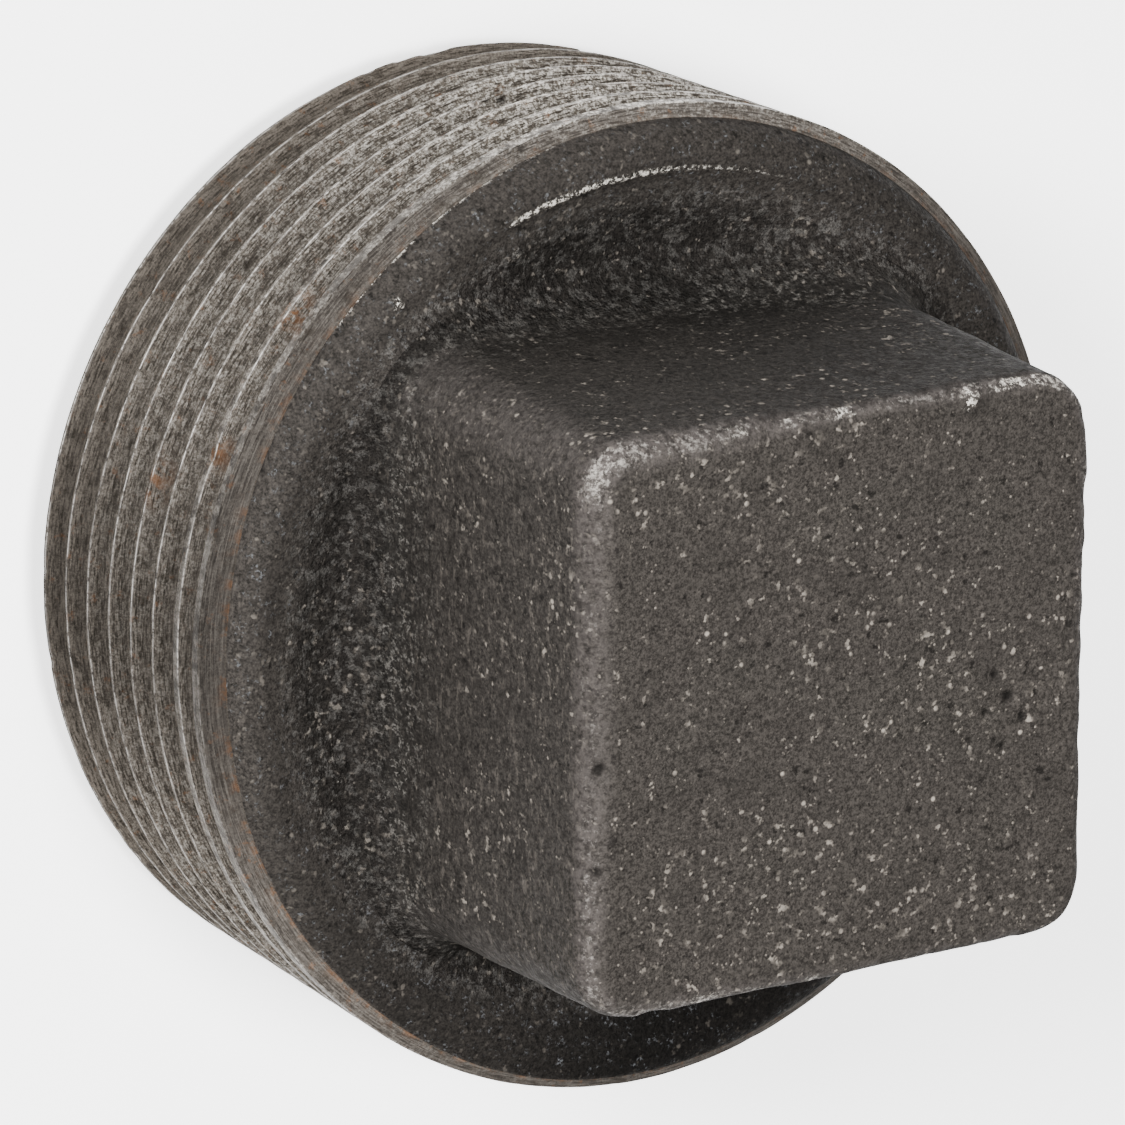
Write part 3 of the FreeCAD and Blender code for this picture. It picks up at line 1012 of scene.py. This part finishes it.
def iron():
    """Cast skin over the head and shoulder, turned metal on the thread."""
    n = Nodes("cast_iron")
    t = SimpleNamespace()
    for name in ("grain", "middle", "coarse", "blotch"):
        setattr(t, name, n.noise(name))
    for name in ("ring", "dish", "soot"):
        setattr(t, name, n.attribute(name))
    t.mottle = n.plus(n.times(t.grain, 0.5), n.times(t.middle, 0.5))
    # Painted shade: the share of colour kept, and how much the specks and scale are dimmed.
    t.dark = n.minus(1.0, n.times(t.soot, 0.86))
    t.shade = n.minus(1.0, n.times(t.soot, 0.62))
    skin, skin_metal, skin_rough, skin_relief = cast_skin(n, t)
    turned, metal, rough, relief = turned_metal(n, t)
    edge = n.plus(n.attribute("cast"), n.times(n.minus(t.blotch, 0.5), 0.5))
    edge = n.ramp(edge, 0.3, 0.6)
    colour = n.mix(edge, turned, skin)
    # Painted shade in the dents.
    colour = n.mix(n.ramp(n.attribute("pit"), 0.25, 0.9, 0.0, 0.85), colour, PIT_PAINTED_SHADE)
    n.link(colour, n.shader.inputs["Base Color"])
    n.link(n.blend(edge, metal, skin_metal), n.shader.inputs["Metallic"])
    n.link(n.blend(edge, rough, skin_rough), n.shader.inputs["Roughness"])
    n.shader.inputs["Specular IOR Level"].default_value = SPECULAR
    bump = n.new("ShaderNodeBump")
    bump.inputs["Strength"].default_value = 1.0
    bump.inputs["Distance"].default_value = BUMP_DISTANCE
    n.link(n.blend(edge, relief, skin_relief), bump.inputs["Height"])
    n.link(bump.outputs[0], n.shader.inputs["Normal"])
    return n.material


# ---------------------------------------------------------------- scene

# Lights: name, place in metres, size in metres and power in watts.
LIGHTS = (
    ("top", (0.14, -0.10, 0.72), 0.24, 14.8),
    ("key", (0.50, -0.26, 0.40), 0.22, 13.7),
    ("fill", (0.10, -0.60, 0.30), 0.40, 1.2),
    ("side", (0.34, 0.42, 0.22), 0.30, 1.6),
    ("back", (-0.50, 0.34, 0.40), 0.40, 1.0),
)
LIGHT_TARGET = Vector((0, 0, 0.018))
FLOOR_REACH = 3.0
FLOOR_COLOUR = rgb(0.95, 0.95, 0.95)
FLOOR_ROUGHNESS = 0.9
FLOOR_GLOW = 0.8
ROOM_GLOW = 0.22
WHITE = rgb(1, 1, 1)

# Camera: focal length and sensor in mm, place in metres, and the directions of its right side and view.
LENS = 312.3
SENSOR = 36.0
CLIP = (0.01, 20.0)
CAMERA_PLACE = Vector((0.23962, -0.14087, 0.39464))
CAMERA_RIGHT = Vector((-0.8487, -0.0049, 0.5288))
CAMERA_FORWARD = Vector((-0.5061, 0.2977, -0.8095))


def place_object(name, data):
    """Add an object to the scene."""
    thing = bpy.data.objects.new(name, data)
    bpy.context.scene.collection.objects.link(thing)
    return thing


def area_light(name, place, size, power):
    """A round soft light that faces the plug."""
    data = bpy.data.lights.new(name, "AREA")
    data.shape = "DISK"
    data.size = size
    data.energy = power
    lamp = place_object(name, data)
    lamp.location = place
    lamp.rotation_mode = "QUATERNION"
    lamp.rotation_quaternion = (LIGHT_TARGET - Vector(place)).to_track_quat("-Z", "Y")


def make_floor():
    """A pale floor that glows a little, so that it stays light."""
    mesh = bpy.data.meshes.new("floor")
    reach = FLOOR_REACH
    corners = [(-reach, -reach, 0), (reach, -reach, 0), (reach, reach, 0), (-reach, reach, 0)]
    mesh.from_pydata(corners, [], [(0, 1, 2, 3)])
    floor = place_object("floor", mesh)
    pale = bpy.data.materials.new("pale_floor")
    pale.use_nodes = True
    inputs = pale.node_tree.nodes["Principled BSDF"].inputs
    inputs["Base Color"].default_value = FLOOR_COLOUR
    inputs["Roughness"].default_value = FLOOR_ROUGHNESS
    inputs["Emission Color"].default_value = WHITE
    inputs["Emission Strength"].default_value = FLOOR_GLOW
    mesh.materials.append(pale)


def make_studio():
    """A pale floor, a plain white room and soft lights."""
    make_floor()
    world = bpy.data.worlds.new("room")
    bpy.context.scene.world = world
    world.use_nodes = True
    inputs = world.node_tree.nodes["Background"].inputs
    inputs["Color"].default_value = WHITE
    inputs["Strength"].default_value = ROOM_GLOW
    for light in LIGHTS:
        area_light(*light)


def make_camera():
    """A long lens, turned so that the thread is at the left and the head at the right."""
    data = bpy.data.cameras.new("camera")
    data.lens = LENS
    data.sensor_width = SENSOR
    data.clip_start, data.clip_end = CLIP
    camera = place_object("camera", data)
    forward = CAMERA_FORWARD.normalized()
    up = CAMERA_RIGHT.normalized().cross(forward)
    right = forward.cross(up)
    axes = Matrix((right, up, -forward)).transposed()
    camera.matrix_world = Matrix.Translation(CAMERA_PLACE) @ axes.to_4x4()
    bpy.context.scene.camera = camera


make_camera()
make_studio()
plug = make_plug()
plug.data.materials.append(iron())
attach(plug, "root")
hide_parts("plug_body")
bpy.context.view_layer.update()
